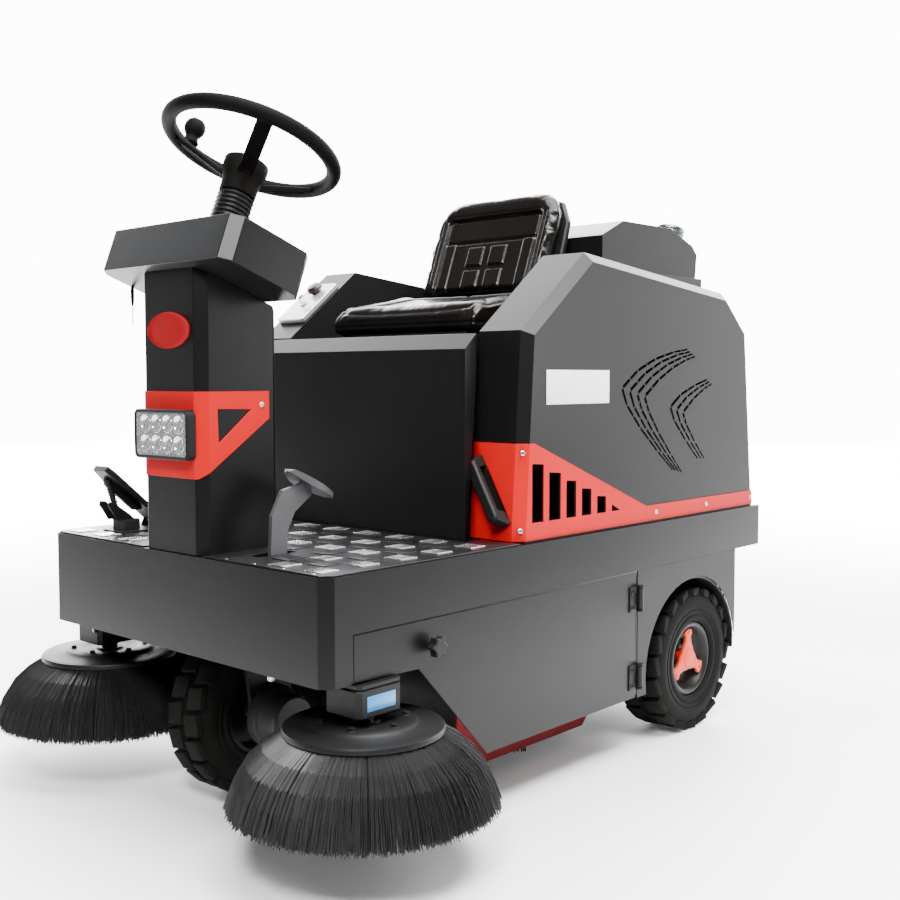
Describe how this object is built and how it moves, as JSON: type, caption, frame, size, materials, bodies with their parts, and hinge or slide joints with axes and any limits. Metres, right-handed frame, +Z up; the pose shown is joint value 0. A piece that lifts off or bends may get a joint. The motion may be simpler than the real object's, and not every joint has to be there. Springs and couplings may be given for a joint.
{
  "type": "ride-on sweeper",
  "caption": "Ride-on floor sweeper with a steering column, padded seat, swinging side doors, flared side brushes, a sweeping roll and a rear debris hopper.",
  "frame": {"origin": "middle of the machine's footprint, on the floor", "axes": "+X towards the machine's left side, +Y towards its rear, +Z up"},
  "size_m": [1.272, 1.604, 1.3652],
  "materials": {
    "graphite_paint": "satin powder coat, dark graphite grey",
    "tread_aluminium": "bright five-bar tread sheet",
    "red_paint": "gloss red paint",
    "tyre_rubber": "matt black rubber",
    "rim_black": "gloss black enamel",
    "hub_orange": "orange moulded plastic",
    "dark_steel": "satin black steel",
    "motor_grey": "semi-gloss motor enamel",
    "chain_steel": "oiled steel",
    "black_plastic": "fine-grained black plastic",
    "bristle": "black polypropylene bristle",
    "gaiter_rubber": "soft black rubber",
    "lamp_glass": "clear lens",
    "pedal_metal": "bare metal, worn",
    "seat_vinyl": "black embossed vinyl",
    "panel_silver": "silver frame",
    "stop_red": "red button",
    "key_chrome": "polished",
    "cap_metal": "polished cap on a dark seal",
    "filter_paper": "pleated filter paper"
  },
  "bodies": {
    "chassis": {"deck_frame": "graphite_paint", "axle_frame": "dark_steel", "tread_plate": "tread_aluminium", "rear_side_panel_left": "graphite_paint", "rear_side_panel_right": "graphite_paint", "column_housing": "graphite_paint", "console_head": "graphite_paint", "column_trim": "red_paint", "lamp_housing": "black_plastic", "lamp_lens": "lamp_glass", "steering_bellows": "gaiter_rubber", "steering_chain": "chain_steel", "fairing_left": "graphite_paint", "fairing_right": "graphite_paint", "fairing_trim_left": "red_paint", "fairing_trim_right": "red_paint", "grab_handle": "black_plastic", "control_panel": "panel_silver", "filter_housing": "dark_steel", "dust_filter": "filter_paper", "main_brush_housing": "dark_steel", "main_brush_motor": "motor_grey", "side_skirt_left": "red_paint", "side_skirt_right": "red_paint", "accelerator_base": "dark_steel", "battery_pack": "black_plastic"},
    "steering": {"steering_wheel": "black_plastic", "steering_shaft": "chain_steel"},
    "spinner": {"spinner_knob": "black_plastic"},
    "lower_shaft": {"lower_steering_shaft": "chain_steel"},
    "fork": {"front_fork": "dark_steel", "drive_motor": "motor_grey"},
    "front_wheel": {"front_tyre": "tyre_rubber", "front_rim": "rim_black"},
    "rear_wheel_left": {"rear_tyre_left": "tyre_rubber", "rear_rim_left": "rim_black", "hub_cap_left": "hub_orange"},
    "rear_wheel_right": {"rear_tyre_right": "tyre_rubber", "rear_rim_right": "rim_black", "hub_cap_right": "hub_orange"},
    "brush_lift_left": {"brush_motor_left": "black_plastic"},
    "brush_lift_right": {"brush_motor_right": "black_plastic"},
    "side_brush_left": {"brush_disc_left": "black_plastic", "brush_bristles_left": "bristle"},
    "side_brush_right": {"brush_disc_right": "black_plastic", "brush_bristles_right": "bristle"},
    "sweep_roll": {"main_brush": "bristle"},
    "hopper": {"hopper": "dark_steel"},
    "door_left": {"side_door_left": "graphite_paint"},
    "door_right": {"side_door_right": "graphite_paint"},
    "hood": {"seat_hood": "graphite_paint", "seat_frame": "black_plastic", "seat_cushion": "seat_vinyl", "seat_backrest": "seat_vinyl"},
    "filter_lid": {"filter_cover": "graphite_paint", "vent_cap": "cap_metal"},
    "brake": {"brake_pedal": "pedal_metal"},
    "accelerator": {"accelerator_pedal": "black_plastic"},
    "key": {"key_switch": "key_chrome"},
    "stop": {"emergency_stop": "stop_red"}
  },
  "joints": [
    {"name": "fork_steer", "type": "hinge", "parent": "chassis", "child": "fork", "pos_m": [0, -0.464, 0.43], "axis": [0, 0, 1], "range_deg": [-30, 30]},
    {"name": "steering_turn", "type": "hinge", "parent": "chassis", "child": "steering", "pos_m": [0, -0.478, 1.286], "axis": [0, 0.3746, 0.9272], "range_deg": [-60, 60]},
    {"name": "lower_shaft_turn", "type": "hinge", "parent": "chassis", "child": "lower_shaft", "pos_m": [0, -0.583, 0.5], "axis": [0, 0, 1], "range_deg": [-60, 60]},
    {"name": "spinner_spin", "type": "hinge", "parent": "steering", "child": "spinner", "pos_m": [-0.16272, -0.51283, 1.30007], "axis": [0, 0.3746, 0.9272], "continuous": true},
    {"name": "front_wheel_spin", "type": "hinge", "parent": "fork", "child": "front_wheel", "pos_m": [-0.042, -0.464, 0.168], "axis": [1, 0, 0], "continuous": true},
    {"name": "rear_wheel_left_spin", "type": "hinge", "parent": "chassis", "child": "rear_wheel_left", "pos_m": [0.368, 0.5, 0.17], "axis": [1, 0, 0], "continuous": true},
    {"name": "brush_lift_left_slide", "type": "slide", "parent": "chassis", "child": "brush_lift_left", "axis": [0, 0, -1], "range_m": [0, 0.113]},
    {"name": "side_brush_left_spin", "type": "hinge", "parent": "brush_lift_left", "child": "side_brush_left", "pos_m": [0.4, -0.566, 0.25], "axis": [0, 0, 1], "continuous": true},
    {"name": "door_left_swing", "type": "hinge", "parent": "chassis", "child": "door_left", "pos_m": [0.437, 0.24, 0.27], "axis": [0, 0, 1], "range_deg": [0, 95]},
    {"name": "rear_wheel_right_spin", "type": "hinge", "parent": "chassis", "child": "rear_wheel_right", "pos_m": [-0.368, 0.5, 0.17], "axis": [1, 0, 0], "continuous": true},
    {"name": "brush_lift_right_slide", "type": "slide", "parent": "chassis", "child": "brush_lift_right", "axis": [0, 0, -1], "range_m": [0, 0.113]},
    {"name": "side_brush_right_spin", "type": "hinge", "parent": "brush_lift_right", "child": "side_brush_right", "pos_m": [-0.4, -0.566, 0.25], "axis": [0, 0, 1], "continuous": true},
    {"name": "door_right_swing", "type": "hinge", "parent": "chassis", "child": "door_right", "pos_m": [-0.437, 0.24, 0.27], "axis": [0, 0, -1], "range_deg": [0, 95]},
    {"name": "main_brush_spin", "type": "hinge", "parent": "chassis", "child": "sweep_roll", "pos_m": [0, 0.052, 0.131], "axis": [1, 0, 0], "continuous": true},
    {"name": "hopper_slide", "type": "slide", "parent": "chassis", "child": "hopper", "axis": [0, 1, 0], "range_m": [0, 0.43]},
    {"name": "hood_tilt", "type": "hinge", "parent": "chassis", "child": "hood", "pos_m": [0, -0.221, 0.518], "axis": [1, 0, 0], "range_deg": [0, 28]},
    {"name": "filter_cover_open", "type": "hinge", "parent": "chassis", "child": "filter_lid", "pos_m": [0, 0.746, 1.094], "axis": [-1, 0, 0], "range_deg": [0, 75]},
    {"name": "brake_press", "type": "hinge", "parent": "chassis", "child": "brake", "pos_m": [0.166, -0.55, 0.44], "axis": [1, 0, 0], "range_deg": [0, 12], "stiffness_Nm_per_rad": 20, "springref_deg": -11.46},
    {"name": "accelerator_press", "type": "hinge", "parent": "chassis", "child": "accelerator", "pos_m": [-0.31, -0.504, 0.533], "axis": [1, 0, 0], "range_deg": [0, 12], "stiffness_Nm_per_rad": 10, "springref_deg": -17.19},
    {"name": "key_turn", "type": "hinge", "parent": "chassis", "child": "key", "pos_m": [-0.346, -0.04231, 1.01126], "axis": [0, -0.6242, 0.7812], "range_deg": [0, 90]},
    {"name": "stop_press", "type": "slide", "parent": "chassis", "child": "stop", "axis": [0, 0.6242, -0.7812], "range_m": [0, 0.004], "stiffness_N_per_m": 800, "springref_m": -0.002}
  ],
  "couplings": [
    {"joint": "steering_turn", "follows": "fork_steer", "ratio": 2},
    {"joint": "lower_shaft_turn", "follows": "fork_steer", "ratio": 2}
  ]
}
